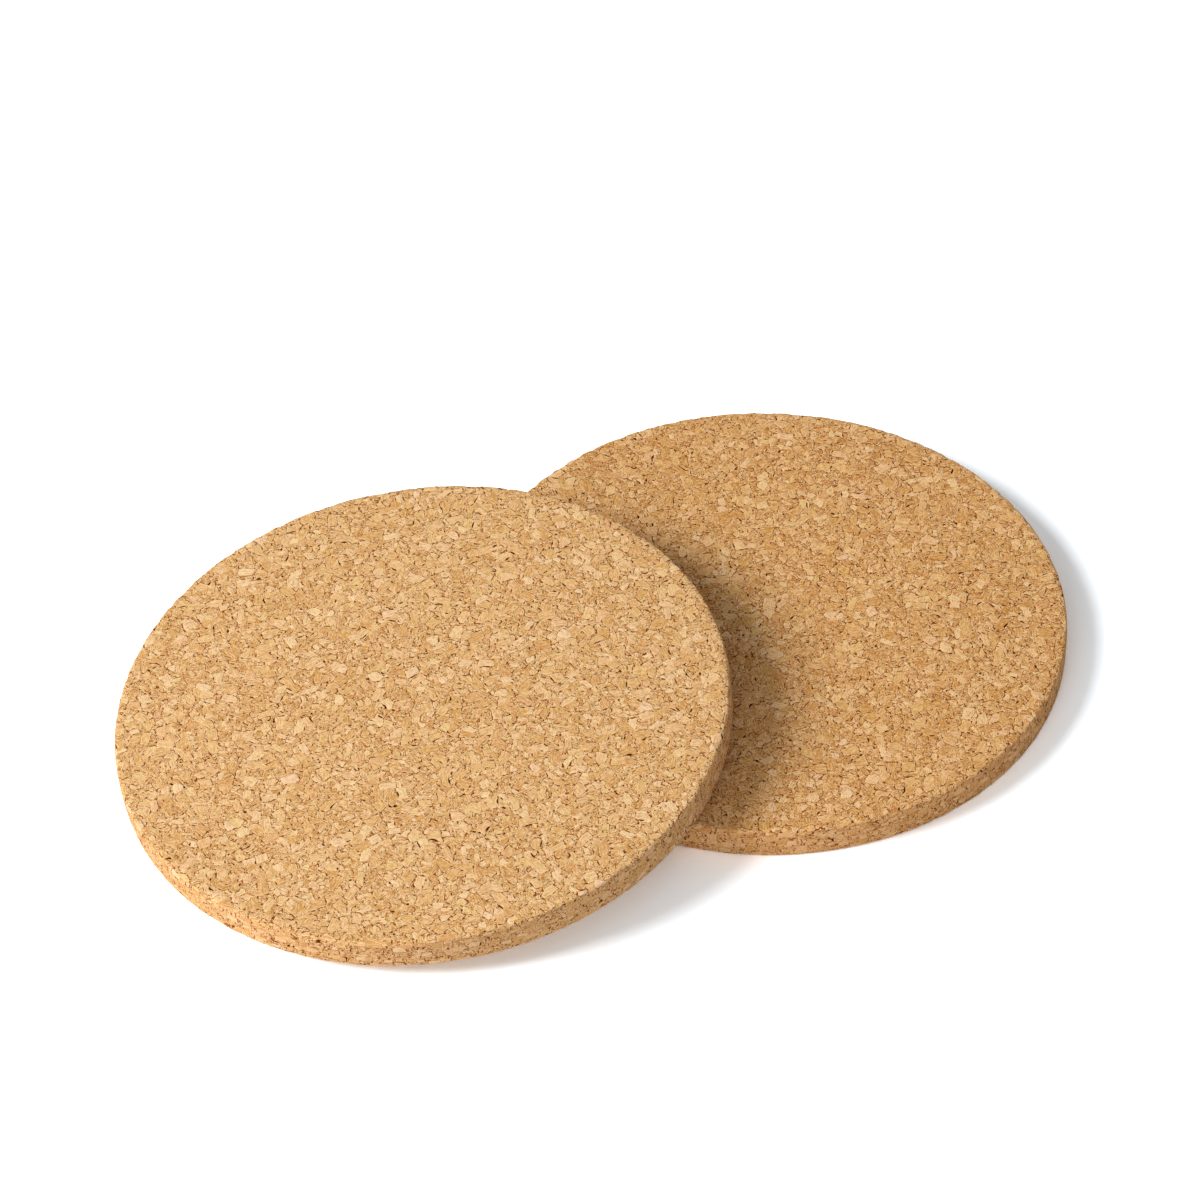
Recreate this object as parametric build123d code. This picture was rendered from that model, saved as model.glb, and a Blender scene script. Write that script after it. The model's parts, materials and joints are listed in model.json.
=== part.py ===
from build123d import *
from math import asin, atan2, cos, degrees, hypot, radians, sin
import os

# A set of two round trivets of pressed cork granules. One lies flat, the other leans on it.
# The origin is the centre of the flat trivet's underside, on the table. +Z is up, in millimetres.

# Driving dimensions
DISC_DIAMETER = 180.0
DISC_THICKNESS = 10.0
EDGE_ROUNDING = 0.8        # the small break along both edges of the rim
FOOT_TO_RIM = 108.5        # on the table, from the leaning trivet's foot to the flat trivet's rim
LEAN_BEARING = 202.6       # direction from the flat trivet towards the leaning one, in degrees from +X
SEAT_CLEARANCE = 0.2       # between the flat trivet's rim and the underside that leans on it

# Worked out from the driving dimensions
RADIUS = DISC_DIAMETER / 2


def trivet():
    """One disc on the table, centred on the Z axis, with both edges of its rim rounded."""
    disc = Cylinder(RADIUS, DISC_THICKNESS, align=(Align.CENTER, Align.CENTER, Align.MIN))
    rim_edges = disc.edges().filter_by(GeomType.CIRCLE)
    return fillet(rim_edges, EDGE_ROUNDING)


def lean_angle():
    """Slope in degrees of a disc whose foot is on the table and whose underside is on the flat disc's rim.

    The slope turns about the centre of the foot's rounding. The rim's rounding has its centre
    one run away and one rise higher, and the underside clears both roundings between them.
    """
    run = FOOT_TO_RIM + EDGE_ROUNDING
    rise = DISC_THICKNESS - 2 * EDGE_ROUNDING
    spread = 2 * EDGE_ROUNDING + SEAT_CLEARANCE
    return degrees(atan2(rise, run) + asin(spread / hypot(run, rise)))


def leaning_place():
    """Place of the leaning trivet: tilted up towards the flat one, foot on the table."""
    slope = radians(lean_angle())
    foot_reach = RADIUS - EDGE_ROUNDING
    # The underside's centre, measured from the point where the foot stands on the table
    ahead_of_foot = foot_reach * cos(slope) + EDGE_ROUNDING * sin(slope)
    above_table = foot_reach * sin(slope) + EDGE_ROUNDING * (1 - cos(slope))
    # The foot stands this far from the flat trivet's centre
    foot_distance = RADIUS + FOOT_TO_RIM
    bearing = Rotation(0, 0, LEAN_BEARING)
    return bearing * Pos(foot_distance - ahead_of_foot, 0, above_table) * Rotation(0, degrees(slope), 0)


flat_trivet = trivet()
leaning_trivet = leaning_place() * trivet()

os.makedirs("parts", exist_ok=True)
export_step(flat_trivet, "parts/flat_trivet.step")
export_step(leaning_trivet, "parts/leaning_trivet.step")
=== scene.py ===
import json
import math
from collections import namedtuple

import bpy
import numpy as np
from mathutils import Matrix, Vector


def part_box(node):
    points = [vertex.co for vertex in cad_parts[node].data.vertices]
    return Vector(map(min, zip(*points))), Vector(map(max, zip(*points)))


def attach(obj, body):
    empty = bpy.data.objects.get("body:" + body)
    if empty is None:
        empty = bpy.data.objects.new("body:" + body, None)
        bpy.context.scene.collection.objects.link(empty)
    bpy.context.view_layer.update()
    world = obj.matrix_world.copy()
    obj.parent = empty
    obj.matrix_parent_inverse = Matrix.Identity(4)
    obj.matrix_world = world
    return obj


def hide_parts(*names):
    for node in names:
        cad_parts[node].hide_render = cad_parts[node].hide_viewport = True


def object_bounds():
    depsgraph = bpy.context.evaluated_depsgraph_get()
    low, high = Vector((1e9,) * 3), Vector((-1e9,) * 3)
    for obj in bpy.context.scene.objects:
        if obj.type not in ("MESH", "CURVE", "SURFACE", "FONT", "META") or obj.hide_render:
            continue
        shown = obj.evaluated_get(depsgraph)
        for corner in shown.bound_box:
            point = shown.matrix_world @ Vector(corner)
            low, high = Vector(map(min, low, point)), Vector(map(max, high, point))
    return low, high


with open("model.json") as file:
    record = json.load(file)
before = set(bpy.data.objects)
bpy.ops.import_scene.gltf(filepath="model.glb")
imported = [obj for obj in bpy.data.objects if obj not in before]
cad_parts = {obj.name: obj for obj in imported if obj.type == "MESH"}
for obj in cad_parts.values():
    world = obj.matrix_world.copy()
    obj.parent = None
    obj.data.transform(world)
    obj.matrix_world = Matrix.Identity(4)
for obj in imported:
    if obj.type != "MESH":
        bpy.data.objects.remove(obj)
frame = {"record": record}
cad_low, cad_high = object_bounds()

# Sizes and mounts taken from the frame, in metres
flat_low, flat_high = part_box("flat_trivet")
RADIUS = (flat_high.x - flat_low.x) / 2
THICKNESS = flat_high.z - flat_low.z
MOUNTS = {mount["name"]: mount for mount in frame["record"]["mounts"]}
MM = 0.001

# The discs' meshes
EDGE_ROUNDING = 0.8 * MM       # as in the part's source
ROUNDING_ROWS = 4
POINT_SPACING = 0.6 * MM       # on the upper face and the wall
RING_GROWTH = 6                # points more on each ring of a face than on the one inside it
UNDERSIDE_RINGS = 60
WORN_BAND = 2.0 * MM           # how far from its corners the rim is worn
LOWER_WEAR = 0.4               # of the lower corner, next to the upper one

# A disc's skin on its square map, whose side is 1: a circle for each face, and the wall cut into strips
MAP_NAME = "OFBake"
MAP_MARGIN = 0.005
TOP_ON_MAP = 0.355             # radius of the circle
UNDERSIDE_ON_MAP = 0.18
STRIPS = 3
STRIP_HEIGHT = 0.044

# The board's granules in millimetres, from the finest layer to the largest, which lies over the others.
# Share is how many of them are there, darkest and palest bound their tones, which go from 0 to 1,
# and streaks and joint say how strongly the lines in them and the joints round them show.
Layer = namedtuple("Layer", "spacing half_length half_width share darkest palest streaks joint")
LAYERS = [
    Layer(0.8, 0.70, 0.46, 1.0, 0.15, 0.80, 0.9, 0.5),
    Layer(1.5, 1.10, 0.66, 1.0, 0.10, 0.95, 0.9, 0.75),
    Layer(2.6, 1.75, 1.05, 0.95, 0.16, 1.0, 0.8, 1.0),
    Layer(4.2, 2.60, 1.55, 0.65, 0.26, 1.0, 0.7, 1.0),
]
GROUND = {"tone": 0.35, "level": 0.3, "streaks": 1.0, "edge": 1.0, "sliver": 0.0}
PRESSING = 1.7                 # how much flatter than wide the granules are
STRAYS = [(2.4, 0.8), (0.7, 0.22)]     # size and reach of the bends that make borders ragged
SLIMNESS = (0.7, 1.25)         # the slimmest granule's width and the broadest one's, next to the layer's
CUT_REACH = 1.3                # to a granule's slanted sides, in half widths
CUT_SHIFT = 0.3                # of the slanted sides to one side, in half widths
FAR = 9.0                      # beyond any border
NOISE_MIDDLE = (0.5, 0.5, 0.5)

# Factors by which a granule's own random numbers give it further ones
DRAW_HUE = 13.0
DRAW_SHARE = 17.0
DRAW_SLIMNESS = 23.0
DRAW_CUT = 29.0
DRAW_SLIVER = 41.0

# Joints between the granules, in millimetres. They open as a noise passes from one value to another.
OPENING_SIZE = 1.0
CREVICE_HALF_WIDTH = 0.22
CREVICE_OPENS = (0.46, 0.66)
CREVICE_DARKENS = (0.64, 0.76)
TIGHT_CREVICE = 0.17           # how much of a crevice is left where the joint is closed
PIT_HALF_WIDTH = 0.26
PIT_OPENS = (0.71, 0.81)
PIT_EDGE = 0.10
SLIVER_WIDTH = 0.42
SLIVER_IN_GRANULE = 0.6        # the most it takes, in half widths of the granule
SLIVER_SHARE = 0.32            # of the granules have one long side that stands open
SLIVER_SIDE = 0.4              # half widths from the granule's middle
SLIVER_ENDS = (0.1, 0.6)       # where it tapers, in half lengths from the middle
SLIVER_EDGE = 0.26             # its browner border
WALL_JOINTS = 0.95             # how open crevices and slivers are on the wall, next to those on the faces

# Depths of the surface in millimetres
GRANULE_STEP = 0.12
CREVICE_DEPTH = 0.08
PIT_DEPTH = 0.16               # of slivers too
WEAR_LEAST = 0.12              # at a corner of the rim
WEAR_MOST = 0.45
WEAR_SIZE = 3.0                # of the worn places along the corner
WEAR_OPENS = (0.44, 0.66)
STREAK_HEIGHT = 0.06           # only in the finish, not in the mesh
BUMP_STRENGTH = 0.5

# Colours as they look on a screen, from 0 to 255: the granules' by tone, and what is drawn on them
TONES = [
    (0.0, (180, 111, 42)),
    (0.15, (202, 144, 79)),
    (0.35, (217, 165, 101)),
    (0.55, (225, 178, 118)),
    (0.75, (233, 189, 132)),
    (0.9, (240, 200, 148)),
    (1.0, (246, 210, 163)),
]
# The pale of the streaks is also the colour of the painted highlights along open joints.
PALE_STREAK_AND_HIGHLIGHT = (255, 222, 174)
DARK_STREAK = (176, 106, 26)
STAIN = (180, 100, 0)
CREVICE = (146, 78, 4)
DEEP_CREVICE = (84, 34, 0)
SLIVER = (64, 26, 0)
SLIVER_BORDER = (140, 72, 0)
PIT = (60, 26, 4)
GREEN_SPREAD = 0.035           # how far a granule's hue may be off
BLUE_SPREAD = 0.09
ROUGHNESS = 0.85
SPECULAR = 0.03

# Streaks and grain inside a granule, the painted highlight bands along its open joints and the stained
# bands along its joints, in millimetres
STREAK_SIZE = 0.29
STREAK_STRETCH = (0.2, 1.0, 1.0)
STREAK_PARTING = 60.0          # from where one granule's streaks are drawn to where another's may be
STREAK_STRENGTH = 0.6
GRAIN_SIZE = 0.26
GRAIN_STRENGTH = 0.42
NOISE_SPREAD = (0.3, 0.7)
# A painted highlight: a pale band along the granules' borders where the joints open.
HIGHLIGHT_BAND = (0.14, 0.4)
HIGHLIGHT_BAND_STRENGTH = 0.6
HIGHLIGHT_BAND_OPENS = (0.30, 0.60)
STAIN_BAND = (0.06, 0.34)
STAIN_STRENGTH = 0.75
STAIN_OPENS = (0.50, 0.66)

# How open a crevice or a sliver is where its colour covers the granule's, and where a sliver turns dark
CREVICE_FILL = 0.55
SLIVER_FILL = 0.4
SLIVER_DARKENS = (0.45, 0.95)

# Each disc's own cork: how far its tones lean to the deep side, its contrast and tint,
# and the place in the board, in millimetres, of the middle of the disc's underside. The flat disc's leans
# deeper and warmer.
DiscCork = namedtuple("DiscCork", "name depth contrast tint place")
PALER = DiscCork("paler_cork", 0.85, 1.0, (1.0, 0.985, 0.955, 1.0), (0.0, 300.0, 40.0))
DEEPER = DiscCork("deeper_cork", 1.05, 1.05, (1.06, 1.015, 0.945, 1.0), (300.0, 0.0, 0.0))
WALL_TINT_AND_SHADE = (0.96, 0.92, 0.92, 1.0)    # on top of the disc's own; partly the cut wall's deeper tone, partly painted shade that darkens the whole wall

# The camera, fitted to the outlines of both discs
CAMERA_PLACE = Vector((-61.8, -964.8, 946.7)) * MM
CAMERA_PITCH = math.radians(43.94)
CAMERA_YAW = math.radians(-0.76)
CAMERA_ROLL = math.radians(-1.13)
CAMERA_LENS = 135.4            # in millimetres, and so is the sensor
CAMERA_SENSOR = 36.0
CAMERA_CLIP_START = 0.01       # in metres, and so is the end
CAMERA_CLIP_END = 100.0

# Light: an even sky, a broad key lamp on the left, and a faint low lamp in front. A lamp's bearing is
# from +X, and at a level of 1 it lights a white surface that faces it to white.
Lamp = namedtuple("Lamp", "name bearing elevation level")
SKY_LEVEL = 0.297
LAMPS = [
    Lamp("key", math.radians(190.0), math.radians(35.0), 1.005),
    Lamp("fill", math.radians(250.0), math.radians(20.0), 0.24),
]
LAMP_DISTANCE = 2.5
LAMP_SIZE = 1.35
FLOOR_COLOUR = (0.9, 0.9, 0.9, 1.0)
FLOOR_SEEN = (1.8, 1.9, 1.98, 1.0)     # where it is looked at, so that it is white outside the shadows
FLOOR_REACH = 1.0              # no further than the lamps light it white


class Nodes:
    """Makes and links the nodes of one tree, for a material or for geometry."""

    def __init__(self, tree):
        self.tree = tree

    def add(self, kind, inputs=None, **settings):
        node = self.tree.nodes.new(kind)
        for name, value in settings.items():
            setattr(node, name, value)
        for name, value in (inputs or {}).items():
            self.feed(node.inputs[name], value)
        return node

    def feed(self, socket, value):
        if isinstance(value, bpy.types.NodeSocket):
            self.tree.links.new(value, socket)
        else:
            socket.default_value = value

    def math(self, operation, *values, clamp=False):
        inputs = dict(enumerate(values))
        return self.add("ShaderNodeMath", inputs, operation=operation, use_clamp=clamp).outputs[0]

    def chain(self, operation, values):
        total = values[0]
        for value in values[1:]:
            total = self.math(operation, total, value)
        return total

    def plus(self, *values):
        return self.chain("ADD", values)

    def times(self, *values):
        return self.chain("MULTIPLY", values)

    def largest(self, *values):
        return self.chain("MAXIMUM", values)

    def minus(self, first, second):
        return self.math("SUBTRACT", first, second)

    def over(self, first, second):
        return self.math("DIVIDE", first, second)

    def vector(self, operation, *values):
        return self.add("ShaderNodeVectorMath", dict(enumerate(values)), operation=operation).outputs[0]

    def scaled(self, vector, factor):
        return self.add("ShaderNodeVectorMath", {0: vector, "Scale": factor}, operation="SCALE").outputs[0]

    def turned(self, vector, angle):
        inputs = {"Vector": vector, "Angle": angle}
        return self.add("ShaderNodeVectorRotate", inputs, rotation_type="Z_AXIS").outputs[0]

    def channels(self, vector):
        return self.add("ShaderNodeSeparateXYZ", {0: vector}).outputs

    def voronoi(self, place, size):
        inputs = {"Vector": place, "Scale": 1 / size}
        return self.add("ShaderNodeTexVoronoi", inputs, voronoi_dimensions="3D", feature="F1").outputs

    def noise(self, place, size, detail=0.0):
        inputs = {"Vector": place, "Scale": 1 / size, "Detail": detail}
        return self.add("ShaderNodeTexNoise", inputs, noise_dimensions="3D").outputs

    def ramp(self, value, low, high, to_low=0.0, to_high=1.0, smooth=True):
        inputs = {"Value": value, "From Min": low, "From Max": high, "To Min": to_low, "To Max": to_high}
        kind = "SMOOTHSTEP" if smooth else "LINEAR"
        return self.add("ShaderNodeMapRange", inputs, interpolation_type=kind).outputs[0]

    def spread(self, value, low, high):
        """A number from 0 to 1 spread evenly from low to high."""
        return self.ramp(value, 0.0, 1.0, low, high, smooth=False)

    def mix(self, share, first, second, kind="FLOAT", blend="MIX"):
        node = self.add("ShaderNodeMix", data_type=kind, clamp_factor=True)
        if kind == "RGBA":
            node.blend_type = blend
        sockets = [s for s in node.inputs if s.enabled]
        for socket, value in zip(sockets, (share, first, second)):
            self.feed(socket, value)
        return next(s for s in node.outputs if s.enabled)

    def colour(self, share, first, second, blend="MIX"):
        return self.mix(share, first, second, "RGBA", blend)


def chance(n, number, factor):
    """One more random number from 0 to 1 for each granule, drawn from one that it has."""
    return n.math("FRACT", n.times(number, factor))


def shifted(n, place, size, reach):
    """The place moved by up to half of reach, so that straight borders come out ragged."""
    stray = n.vector("SUBTRACT", n.noise(place, size)["Color"], NOISE_MIDDLE)
    return n.vector("ADD", place, n.scaled(stray, reach))


def granules(n, place, wall, layer):
    """Angular granules of one size, each turned its own way: what they are like and where they are."""
    half_length, half_width = layer.half_length, layer.half_width
    cell = n.voronoi(place, layer.spacing)
    tone, level, bearing = n.channels(cell["Color"])
    turned = n.turned(n.vector("SUBTRACT", place, cell["Position"]), n.times(bearing, 2 * math.pi))
    x, y, z = n.channels(n.vector("ABSOLUTE", turned))
    # A box cut by one more pair of sides, slanted. On the wall its top and bottom are borders too.
    cut = n.channels(n.turned(turned, n.times(chance(n, level, DRAW_CUT), math.pi)))[0]
    slant = n.math("ABSOLUTE", n.plus(cut, CUT_SHIFT * half_width))
    slim = n.spread(chance(n, tone, DRAW_SLIMNESS), *SLIMNESS)
    rise = n.over(z, half_width)
    reach = n.largest(
        n.over(x, half_length),
        n.over(n.over(y, slim), half_width),
        n.over(slant, CUT_REACH * half_width),
        n.times(rise, wall),
    )
    left_out = n.math("GREATER_THAN", chance(n, level, DRAW_SHARE), layer.share)
    missing = n.largest(n.math("GREATER_THAN", rise, 1.0), left_out)
    beyond = n.times(n.minus(reach, 1.0), half_width / layer.joint)
    return {
        "tone": n.spread(tone, layer.darkest, layer.palest),
        "level": level,
        "turned": turned,
        "streaks": layer.streaks,
        "outside": n.plus(beyond, n.times(missing, FAR)),
        "sliver": sliver(n, layer, turned, reach, chance(n, level, DRAW_SLIVER)),
    }


def sliver(n, layer, turned, reach, luck):
    """One where a granule's long side stands open, tapering to the side's ends."""
    half_length, half_width = layer.half_length, layer.half_width
    x, y, _ = n.channels(turned)
    side = n.ramp(y, 0.0, SLIVER_SIDE * half_width)
    taper = [share * half_length for share in SLIVER_ENDS]
    ends = n.ramp(n.math("ABSOLUTE", x), *taper, 1.0, 0.0)
    widest = min(SLIVER_WIDTH, SLIVER_IN_GRANULE * half_width)
    gape = n.ramp(luck, 1.0 - SLIVER_SHARE, 1.0, -SLIVER_EDGE, widest)
    depth = n.times(n.minus(1.0, reach), half_width)
    return n.ramp(n.minus(n.times(gape, side, ends), depth), -SLIVER_EDGE / 2, SLIVER_EDGE / 2)


def laid_over(n, below, above):
    """The layer of granules above, with what is below it showing between them."""
    inside = n.math("LESS_THAN", above["outside"], 0.0)
    border = n.math("ABSOLUTE", above["outside"])
    numbers = ("tone", "level", "streaks", "sliver")
    board = {name: n.mix(inside, below[name], above[name]) for name in numbers}
    board["turned"] = n.mix(inside, below["turned"], above["turned"], "VECTOR")
    board["edge"] = n.mix(inside, n.math("MINIMUM", below["edge"], border), border)
    return board


def cork(n, place, wall):
    """What the board is like at a place in it, given in millimetres, as named sockets."""
    pressed = n.vector("MULTIPLY", place, (1.0, 1.0, PRESSING))
    ragged = pressed
    for size, reach in STRAYS:
        ragged = shifted(n, ragged, size, reach)
    board = {**GROUND, "turned": ragged}
    for layer in LAYERS:
        board = laid_over(n, board, granules(n, ragged, wall, layer))
    # Joints open along parts of the borders, and here and there widen into pits
    opening = n.noise(pressed, OPENING_SIZE, detail=1.0)["Fac"]
    openness = n.spread(wall, 1.0, WALL_JOINTS)
    border = n.math("SUBTRACT", 1.0, n.over(board["edge"], CREVICE_HALF_WIDTH), clamp=True)
    pit_width = n.ramp(opening, *PIT_OPENS, 0.0, PIT_HALF_WIDTH)
    board["pressed"] = pressed
    board["opening"] = opening
    board["crevice"] = n.times(border, n.ramp(opening, *CREVICE_OPENS, TIGHT_CREVICE, 1.0), openness)
    board["sliver"] = n.times(board["sliver"], openness)
    board["pit"] = n.ramp(n.minus(pit_width, board["edge"]), 0.0, PIT_EDGE)
    return board


def relief(n, board):
    """Height of the surface in millimetres, below the disc's true faces."""
    step = n.spread(board["level"], -GRANULE_STEP, 0.0)
    crevice = n.times(board["crevice"], -CREVICE_DEPTH)
    hole = n.times(n.largest(board["pit"], board["sliver"]), -PIT_DEPTH)
    return n.plus(step, crevice, hole)


def linear(colour):
    """A colour given as it looks on a screen, 0 to 255, turned into linear light."""
    shares = [c / 255 for c in colour]
    return (*[c / 12.92 if c <= 0.04045 else ((c + 0.055) / 1.055) ** 2.4 for c in shares], 1.0)


def tone_colour(n, tone):
    """The colour that TONES gives for a tone."""
    node = n.add("ShaderNodeValToRGB", {"Fac": tone})
    elements = node.color_ramp.elements
    while len(elements) < len(TONES):
        elements.new(0.5)  # moved to its tone below
    for element, (position, colour) in zip(elements, TONES):
        element.position = position
        element.color = linear(colour)
    return node.outputs["Color"]


def streaked(n, board, colour, streak):
    """The granules' colour, each a little off in hue, with fine streaks and grain and painted highlights
    along open joints.
    """
    green = n.spread(chance(n, board["level"], DRAW_HUE), 1.0 - GREEN_SPREAD, 1.0 + GREEN_SPREAD)
    blue = n.spread(board["level"], 1.0 - BLUE_SPREAD, 1.0 + BLUE_SPREAD)
    hue = n.add("ShaderNodeCombineXYZ", {"X": 1.0, "Y": green, "Z": blue}).outputs[0]
    own = n.colour(1.0, colour, hue, "MULTIPLY")
    grain = n.noise(board["pressed"], GRAIN_SIZE)["Fac"]
    streaks = n.ramp(streak, *NOISE_SPREAD, -STREAK_STRENGTH, STREAK_STRENGTH, smooth=False)
    grains = n.ramp(grain, *NOISE_SPREAD, -GRAIN_STRENGTH, GRAIN_STRENGTH, smooth=False)
    # A painted highlight: a pale band along the granules' borders where the joints open.
    open_here = n.ramp(board["opening"], *HIGHLIGHT_BAND_OPENS)
    highlight_band = n.times(n.ramp(board["edge"], *HIGHLIGHT_BAND, HIGHLIGHT_BAND_STRENGTH, 0.0), open_here)
    streaks_and_highlight = n.plus(n.times(n.plus(streaks, grains), board["streaks"]), highlight_band)
    streaked_and_highlit = n.colour(streaks_and_highlight, own, linear(PALE_STREAK_AND_HIGHLIGHT))
    return n.colour(n.times(streaks_and_highlight, -1.0), streaked_and_highlit, linear(DARK_STREAK))


def jointed(n, board, colour):
    """The colour with the stains, crevices, slivers and pits along the granules' joints."""
    open_here = n.ramp(board["opening"], *STAIN_OPENS)
    stain = n.times(n.ramp(board["edge"], *STAIN_BAND, STAIN_STRENGTH, 0.0), open_here)
    colour = n.colour(stain, colour, linear(STAIN))
    crevice = n.colour(n.ramp(board["opening"], *CREVICE_DARKENS), linear(CREVICE), linear(DEEP_CREVICE))
    colour = n.colour(n.ramp(board["crevice"], 0.0, CREVICE_FILL), colour, crevice)
    gap = n.colour(n.ramp(board["sliver"], *SLIVER_DARKENS), linear(SLIVER_BORDER), linear(SLIVER))
    colour = n.colour(n.ramp(board["sliver"], 0.0, SLIVER_FILL), colour, gap)
    return n.colour(board["pit"], colour, linear(PIT))


def cork_material(disc_cork):
    """The finish of one disc's cork: its granules' colours, and their relief as a bump."""
    material = bpy.data.materials.new(disc_cork.name)
    material.use_nodes = True
    material.node_tree.nodes.clear()
    n = Nodes(material.node_tree)
    place = n.add("ShaderNodeAttribute", attribute_name="board_place").outputs["Vector"]
    wall = n.add("ShaderNodeAttribute", attribute_name="wall").outputs["Fac"]
    board = cork(n, place, wall)
    along_granule = n.vector("MULTIPLY", board["turned"], STREAK_STRETCH)
    own_place = n.vector("ADD", along_granule, n.times(board["level"], STREAK_PARTING))
    streak = n.noise(own_place, STREAK_SIZE)["Fac"]
    colour = tone_colour(n, n.math("POWER", board["tone"], disc_cork.depth))
    colour = jointed(n, board, streaked(n, board, colour, streak))
    colour = n.add("ShaderNodeGamma", {"Color": colour, "Gamma": disc_cork.contrast}).outputs[0]
    wall_tint_and_shade = [a * b for a, b in zip(disc_cork.tint, WALL_TINT_AND_SHADE)]
    # The wall is darkened here: partly its own deeper tone, partly painted shade.
    colour = n.colour(1.0, colour, n.colour(wall, disc_cork.tint, wall_tint_and_shade), "MULTIPLY")
    height = n.plus(relief(n, board), n.times(streak, STREAK_HEIGHT))
    bump = n.add("ShaderNodeBump", {"Height": height, "Strength": BUMP_STRENGTH, "Distance": MM}).outputs[0]
    shader = n.add("ShaderNodeBsdfPrincipled", {
        "Base Color": colour,
        "Roughness": ROUGHNESS,
        "Specular IOR Level": SPECULAR,
        "Normal": bump,
    })
    n.add("ShaderNodeOutputMaterial", {"Surface": shader.outputs[0]})
    return material


def relief_tree():
    """Geometry nodes that press the granules' relief into a disc and wear its corners."""
    tree = bpy.data.node_groups.new("granule_relief", "GeometryNodeTree")
    tree.interface.new_socket("Geometry", in_out="INPUT", socket_type="NodeSocketGeometry")
    tree.interface.new_socket("Geometry", in_out="OUTPUT", socket_type="NodeSocketGeometry")
    n = Nodes(tree)
    given = n.add("NodeGroupInput").outputs[0]
    kind = "GeometryNodeInputNamedAttribute"
    place = n.add(kind, {"Name": "board_place"}, data_type="FLOAT_VECTOR").outputs[0]
    wall = n.add(kind, {"Name": "wall"}, data_type="FLOAT").outputs[0]
    corner = n.add(kind, {"Name": "corner"}, data_type="FLOAT").outputs[0]
    worn_here = n.noise(place, WEAR_SIZE, detail=1.0)["Fac"]
    wear = n.ramp(worn_here, *WEAR_OPENS, -WEAR_LEAST, -WEAR_MOST)
    height = n.plus(relief(n, cork(n, place, wall)), n.times(corner, wear))
    offset = n.scaled(n.add("GeometryNodeInputNormal").outputs[0], n.times(height, MM))
    moved = n.add("GeometryNodeSetPosition", {"Geometry": given, "Offset": offset}).outputs[0]
    n.add("NodeGroupOutput", {0: moved})
    return tree


class Profile:
    """A disc's rings of points, from the top's middle over the rim to the underside's middle.

    Each ring is its radius, its height and its number of points.
    """

    def __init__(self):
        flat = RADIUS - EDGE_ROUNDING
        top_rings = round(flat / POINT_SPACING)
        self.around = RING_GROWTH * top_rings
        self.rings = []
        for k in range(top_rings + 1):
            self.add_face_ring(flat * k / top_rings, THICKNESS, k)
        turns = [math.pi / 2 * k / ROUNDING_ROWS for k in range(1, ROUNDING_ROWS + 1)]
        wall_top = THICKNESS - EDGE_ROUNDING
        for turn in turns:
            self.add_rim(flat + EDGE_ROUNDING * math.sin(turn), wall_top + EDGE_ROUNDING * math.cos(turn))
        self.wall_start = len(self.rings) - 1
        rows = round((wall_top - EDGE_ROUNDING) / POINT_SPACING)
        for k in range(1, rows + 1):
            self.add_rim(RADIUS, wall_top + (EDGE_ROUNDING - wall_top) * k / rows)
        self.wall_end = len(self.rings) - 1
        for turn in turns:
            self.add_rim(flat + EDGE_ROUNDING * math.cos(turn), EDGE_ROUNDING * (1 - math.sin(turn)))
        for k in range(UNDERSIDE_RINGS - 1, -1, -1):
            self.add_face_ring(flat * k / UNDERSIDE_RINGS, 0.0, k)

    def add_face_ring(self, radius, height, number):
        self.rings.append((radius, height, max(1, RING_GROWTH * number)))

    def add_rim(self, radius, height):
        self.rings.append((radius, height, self.around))

    def points(self):
        """Place, ring and turn of each point, and each ring's distance along the profile."""
        ring_of = np.concatenate([np.full(count, k) for k, (_, _, count) in enumerate(self.rings)])
        turn_of = np.concatenate([np.arange(count) * 2 * math.pi / count for _, _, count in self.rings])
        radii, heights, _ = np.array(self.rings).T
        radius = radii[ring_of]
        places = np.stack([radius * np.cos(turn_of), radius * np.sin(turn_of), heights[ring_of]], 1)
        along = np.concatenate([[0.0], np.cumsum(np.hypot(np.diff(radii), np.diff(heights)))])
        return places, ring_of, turn_of, along

    def faces(self):
        """Triangles between each ring and the next."""
        faces = []
        start = 0
        for (_, _, count), (_, _, next_count) in zip(self.rings, self.rings[1:]):
            faces += stitch(start, count, start + count, next_count)
            start += count
        return faces


def stitch(first, first_count, second, second_count):
    """Triangles between two rings, given the index of each ring's first point and its number of points."""
    faces = []
    first_steps = first_count if first_count > 1 else 0
    second_steps = second_count if second_count > 1 else 0
    i = j = 0
    while i < first_steps or j < second_steps:
        a, b = first + i % first_count, second + j % second_count
        first_is_behind = (i + 1) * second_count <= (j + 1) * first_count
        if i < first_steps and (j >= second_steps or first_is_behind):
            faces.append((a, b, first + (i + 1) % first_count))
            i += 1
        else:
            faces.append((a, b, second + (j + 1) % second_count))
            j += 1
    return faces


def disc_mesh(name, board_place):
    """A closed disc of even triangles that knows its place in the board, on the table at the origin."""
    profile = Profile()
    points, ring_of, turn_of, along = profile.points()
    faces = np.array(profile.faces())
    mesh = bpy.data.meshes.new(name)
    mesh.from_pydata(points, [], faces)
    mesh.shade_smooth()
    place = mesh.attributes.new("board_place", "FLOAT_VECTOR", "POINT")
    place.data.foreach_set("vector", (points / MM + board_place).astype(np.float32).ravel())
    mark_rim(mesh, points)
    spots = map_spots(profile, ring_of[faces], turn_of[faces], along)
    mesh.uv_layers.new(name=MAP_NAME).data.foreach_set("uv", spots.astype(np.float32).ravel())
    return mesh


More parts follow.
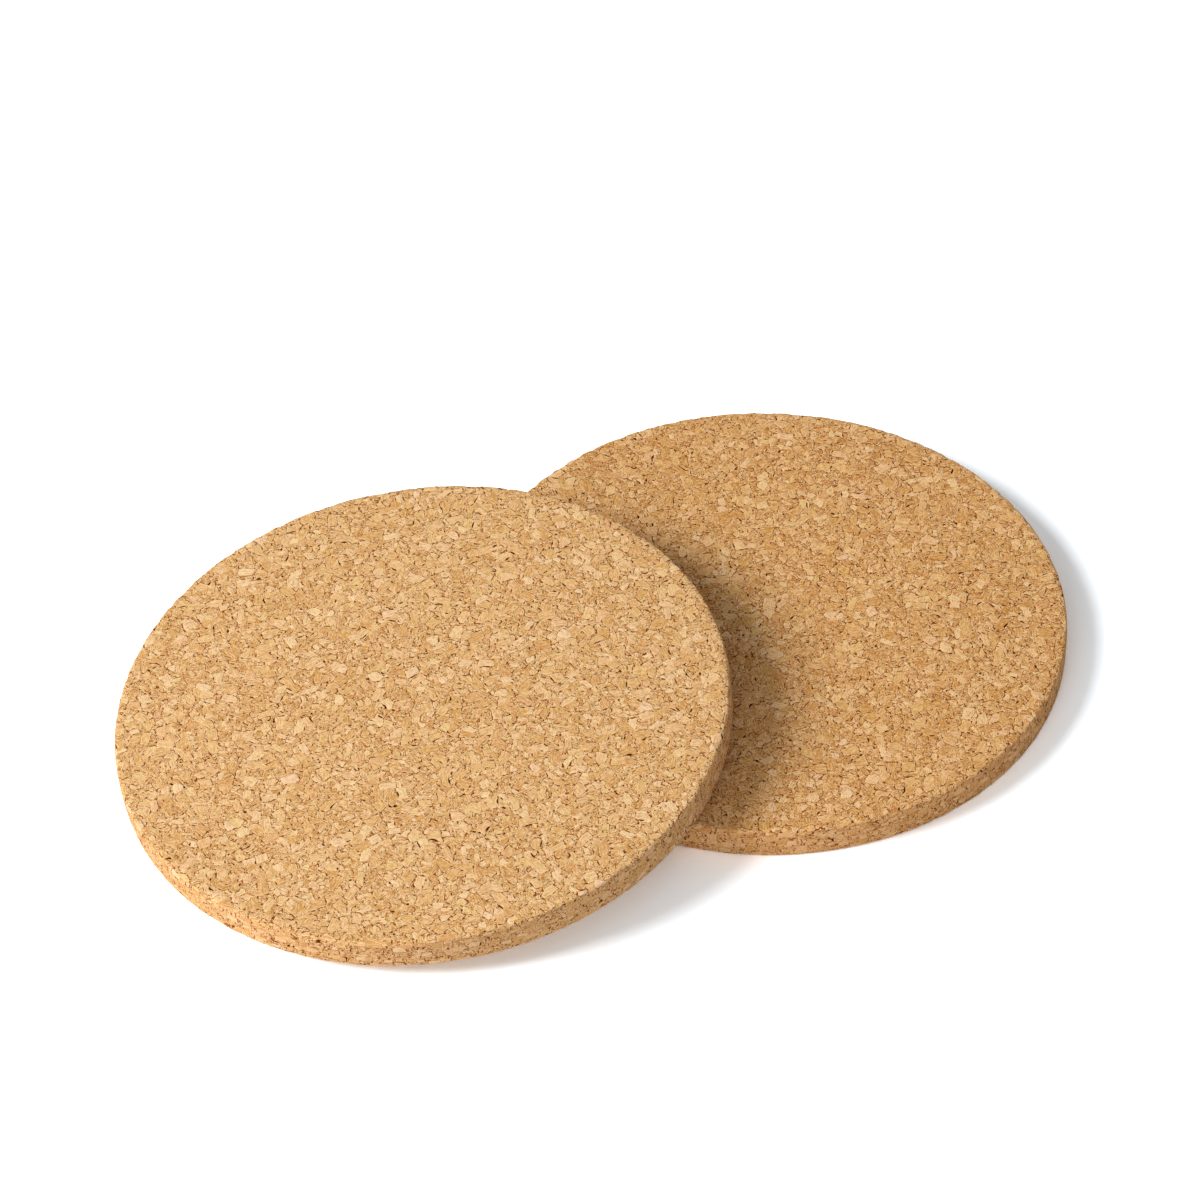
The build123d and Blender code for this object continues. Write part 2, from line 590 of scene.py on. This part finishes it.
def mark_rim(mesh, points):
    """Marks how far each point belongs to the wall and to a worn corner, from 0 to 1."""
    x, y, height = points.T
    outward = np.hypot(x, y)
    from_face = np.minimum(height, THICKNESS - height)
    from_corner = np.hypot(RADIUS - outward, from_face)
    give(mesh, "wall", np.clip((outward - RADIUS + EDGE_ROUNDING) / EDGE_ROUNDING, 0, 1))
    worn = np.where(height > THICKNESS / 2, 1.0, LOWER_WEAR)
    give(mesh, "corner", worn * np.clip(1 - from_corner / WORN_BAND, 0, 1))


def give(mesh, name, values):
    """Stores one number for each point of a mesh."""
    attribute = mesh.attributes.new(name, "FLOAT", "POINT")
    attribute.data.foreach_set("value", values.astype(np.float32))


def map_spots(profile, ring, turn, along):
    """Where each corner of each face lies on the map, given its ring and its turn round the disc."""
    over_start = (np.ptp(turn, axis=1, keepdims=True) > math.pi) & (turn < math.pi)
    turn = np.where(over_start, turn + 2 * math.pi, turn)
    reach = along[ring]
    wall_start, wall_end, end = along[profile.wall_start], along[profile.wall_end], along[-1]
    direction = np.stack([np.cos(turn), np.sin(turn)], 2)
    strip_step = STRIP_HEIGHT + MAP_MARGIN
    above_strips = STRIPS * strip_step + MAP_MARGIN
    # The upper face is at the top left, the underside at the right above the strips
    top_middle = (MAP_MARGIN + TOP_ON_MAP, 1 - MAP_MARGIN - TOP_ON_MAP)
    top = top_middle + direction * (TOP_ON_MAP * reach / wall_start)[..., None]
    underside_middle = (1 - MAP_MARGIN - UNDERSIDE_ON_MAP, above_strips + UNDERSIDE_ON_MAP)
    from_middle = UNDERSIDE_ON_MAP * (end - reach) / (end - wall_end)
    underside = underside_middle + direction * from_middle[..., None]
    # Each strip holds its share of the wall's way round
    strip_turn = 2 * math.pi / STRIPS
    strip = np.floor(turn.mean(1, keepdims=True) / strip_turn)
    across = MAP_MARGIN + (1 - 2 * MAP_MARGIN) * (turn / strip_turn - strip)
    up = MAP_MARGIN + strip * strip_step + STRIP_HEIGHT * (reach - wall_start) / (wall_end - wall_start)
    wall = np.stack([across, up], 2)
    first_ring = ring.min(1)[:, None, None]
    on_top = first_ring < profile.wall_start
    on_wall = first_ring < profile.wall_end
    return np.where(on_top, top, np.where(on_wall, wall, underside))


def trivet(name, node, body, disc_cork, matrix):
    """A disc of board, pressed, put in its place and tied to the body that it rides on."""
    piece = bpy.data.objects.new(name, disc_mesh(name, disc_cork.place))
    bpy.context.scene.collection.objects.link(piece)
    piece.data.materials.append(cork_material(disc_cork))
    modifier = piece.modifiers.new("granules", "NODES")
    modifier.node_group = RELIEF
    evaluated = piece.evaluated_get(bpy.context.evaluated_depsgraph_get())
    pressed = bpy.data.meshes.new_from_object(evaluated)
    piece.modifiers.clear()
    pressed.transform(matrix)
    piece.data = pressed
    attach(piece, body)
    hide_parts(node)


def leaning_matrix():
    """Where the leaning disc stands: its upper face is the pot mount."""
    mount = MOUNTS["pot_face"]
    up = Vector(mount["axis"]).normalized()
    underside = Vector(mount["pos_m"]) - up * THICKNESS
    return Matrix.Translation(underside) @ up.to_track_quat("Z", "Y").to_matrix().to_4x4()


def camera():
    """The view of the photograph."""
    data = bpy.data.cameras.new("camera")
    data.lens = CAMERA_LENS
    data.sensor_width = CAMERA_SENSOR
    data.clip_start = CAMERA_CLIP_START
    data.clip_end = CAMERA_CLIP_END
    placed = bpy.data.objects.new("camera", data)
    bpy.context.scene.collection.objects.link(placed)
    turn = Matrix.Rotation(CAMERA_YAW, 4, "Z") @ Matrix.Rotation(math.pi / 2 - CAMERA_PITCH, 4, "X")
    placed.matrix_world = Matrix.Translation(CAMERA_PLACE) @ turn @ Matrix.Rotation(CAMERA_ROLL, 4, "Z")
    bpy.context.scene.camera = placed


def looked_at(n):
    """One where a surface is met by a ray from the camera, or by one that gloss or glass sends on."""
    path = n.add("ShaderNodeLightPath").outputs
    return n.largest(path["Is Camera Ray"], path["Is Glossy Ray"], path["Is Transmission Ray"])


def floor():
    """A plain white floor."""
    mesh = bpy.data.meshes.new("floor")
    far = FLOOR_REACH
    corners = [(-far, -far, 0), (far, -far, 0), (far, far, 0), (-far, far, 0)]
    mesh.from_pydata(corners, [], [(0, 1, 2, 3)])
    piece = bpy.data.objects.new("floor", mesh)
    bpy.context.scene.collection.objects.link(piece)
    material = bpy.data.materials.new("white_floor")
    material.use_nodes = True
    material.node_tree.nodes.clear()
    n = Nodes(material.node_tree)
    colour = n.colour(looked_at(n), FLOOR_COLOUR, FLOOR_SEEN)
    matte = n.add("ShaderNodeBsdfDiffuse", {"Color": colour}).outputs[0]
    n.add("ShaderNodeOutputMaterial", {"Surface": matte})
    mesh.materials.append(material)


def sky():
    """Even light from all round, and a white background."""
    world = bpy.data.worlds.new("sky")
    world.use_nodes = True
    world.node_tree.nodes.clear()
    n = Nodes(world.node_tree)
    strength = n.mix(looked_at(n), SKY_LEVEL, 1.0)
    light = n.add("ShaderNodeBackground", {"Color": (1, 1, 1, 1), "Strength": strength}).outputs[0]
    n.add("ShaderNodeOutputWorld", {"Surface": light})
    bpy.context.scene.world = world


def lamp(name, bearing, elevation, level):
    """A round lamp that faces the discs and isn't seen itself."""
    data = bpy.data.lights.new(name, "AREA")
    data.shape = "DISK"
    data.size = LAMP_SIZE
    data.energy = level * (math.pi * LAMP_DISTANCE) ** 2
    flat = math.cos(elevation)
    away = Vector((flat * math.cos(bearing), flat * math.sin(bearing), math.sin(elevation)))
    placed = bpy.data.objects.new(name, data)
    bpy.context.scene.collection.objects.link(placed)
    placed.location = (cad_low + cad_high) / 2 + away * LAMP_DISTANCE
    placed.rotation_euler = (-away).to_track_quat("-Z", "Y").to_euler()
    placed.visible_camera = False


RELIEF = relief_tree()
trivet("flat_cork_disc", "flat_trivet", "flat", DEEPER, Matrix.Identity(4))
trivet("leaning_cork_disc", "leaning_trivet", "leaning", PALER, leaning_matrix())
camera()
floor()
sky()
for values in LAMPS:
    lamp(*values)
bpy.context.scene.view_settings.view_transform = "Standard"
